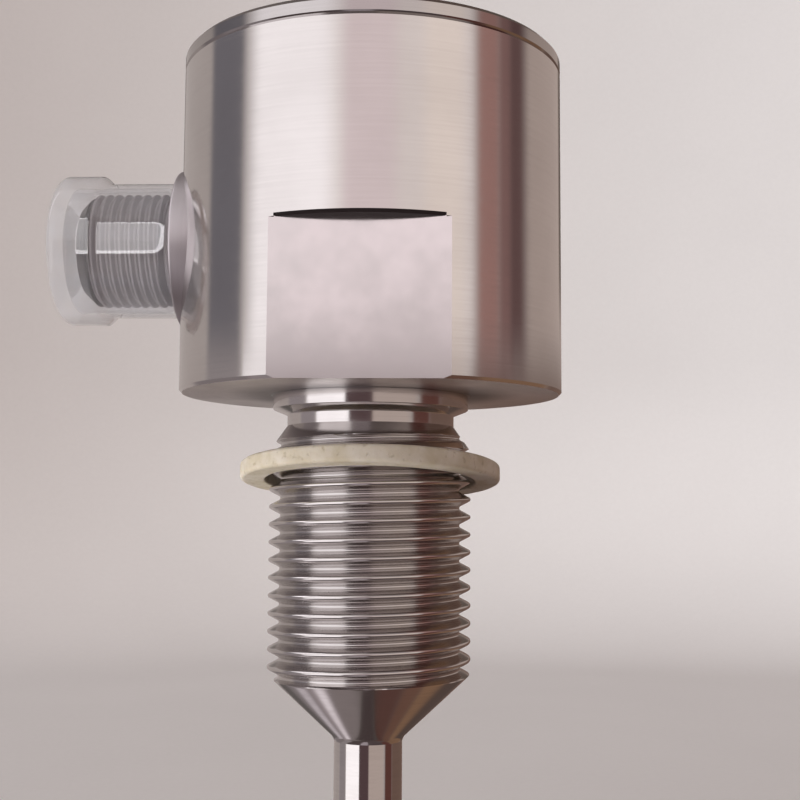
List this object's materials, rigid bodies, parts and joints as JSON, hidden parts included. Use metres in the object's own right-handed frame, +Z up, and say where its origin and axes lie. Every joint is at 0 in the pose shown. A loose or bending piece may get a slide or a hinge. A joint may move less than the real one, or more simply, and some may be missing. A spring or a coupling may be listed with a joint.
{
  "type": "flow switch",
  "caption": "Round-headed thermal flow switch with a threaded process fitting, a slim probe rod and a capped side plug",
  "frame": {"origin": "centre of the head's underside, on the axis of head, thread and probe", "axes": "+Z up through the head, front wrench flat facing -Y, plug pointing towards -X, probe down -Z"},
  "size_m": [0.0527, 0.0398, 0.1015],
  "materials": {
    "polished_steel": "turned and polished stainless steel",
    "thread_steel": "turned stainless steel",
    "plated_shell": "nickel-plated turned brass",
    "clear_cap": "clear soft plastic",
    "washer_plastic": "cream gasket material",
    "seal_rubber": "black rubber",
    "nut_brass": "turned brass",
    "pin_gold": "gold-plated brass",
    "carrier_black": "black moulded plastic",
    "board_green": "circuit board laminate",
    "chip_black": "moulded chip body",
    "strip_amber": "polyimide strip",
    "chip_ceramic": "ceramic chip",
    "filling_grey": "heat-conducting compound",
    "stopper_red": "silicone stopper",
    "resin_black": "potting resin",
    "can_aluminium": "capacitor can",
    "ferrite_grey": "ferrite",
    "screw_steel": "zinc-plated steel",
    "wire_brown": "insulated wire"
  },
  "bodies": {
    "switch": {"head_housing": "polished_steel", "head_cover": "polished_steel", "cover_o_ring": "seal_rubber", "process_fitting": "thread_steel", "fitting_o_ring": "seal_rubber", "ring_nut": "nut_brass", "probe_tube": "polished_steel", "sensor_strip": "strip_amber", "heated_sensor": "chip_ceramic", "reference_sensor": "chip_ceramic", "tip_filling": "filling_grey", "tube_plug": "stopper_red", "head_potting": "resin_black", "lower_pillars": "nut_brass", "sensor_board": "board_green", "upper_pillars": "nut_brass", "main_board": "board_green", "board_screws": "screw_steel", "board_header": "carrier_black", "buffer_capacitor": "can_aluminium", "supply_choke": "ferrite_grey", "amplifier_chip": "chip_black", "regulator_chip": "chip_black", "controller_chip": "chip_black", "output_switches": "chip_black", "plug_shell": "plated_shell", "plug_seal": "seal_rubber", "contact_carrier": "carrier_black", "contact_pins": "pin_gold", "plug_wires": "wire_brown", "seal_washer": "washer_plastic"},
    "cap": {"protective_cap": "clear_cap"}
  },
  "joints": [
    {"name": "cap_pull", "type": "slide", "parent": "switch", "child": "cap", "axis": [-1, 0, 0], "range_m": [0, 0.025]}
  ]
}
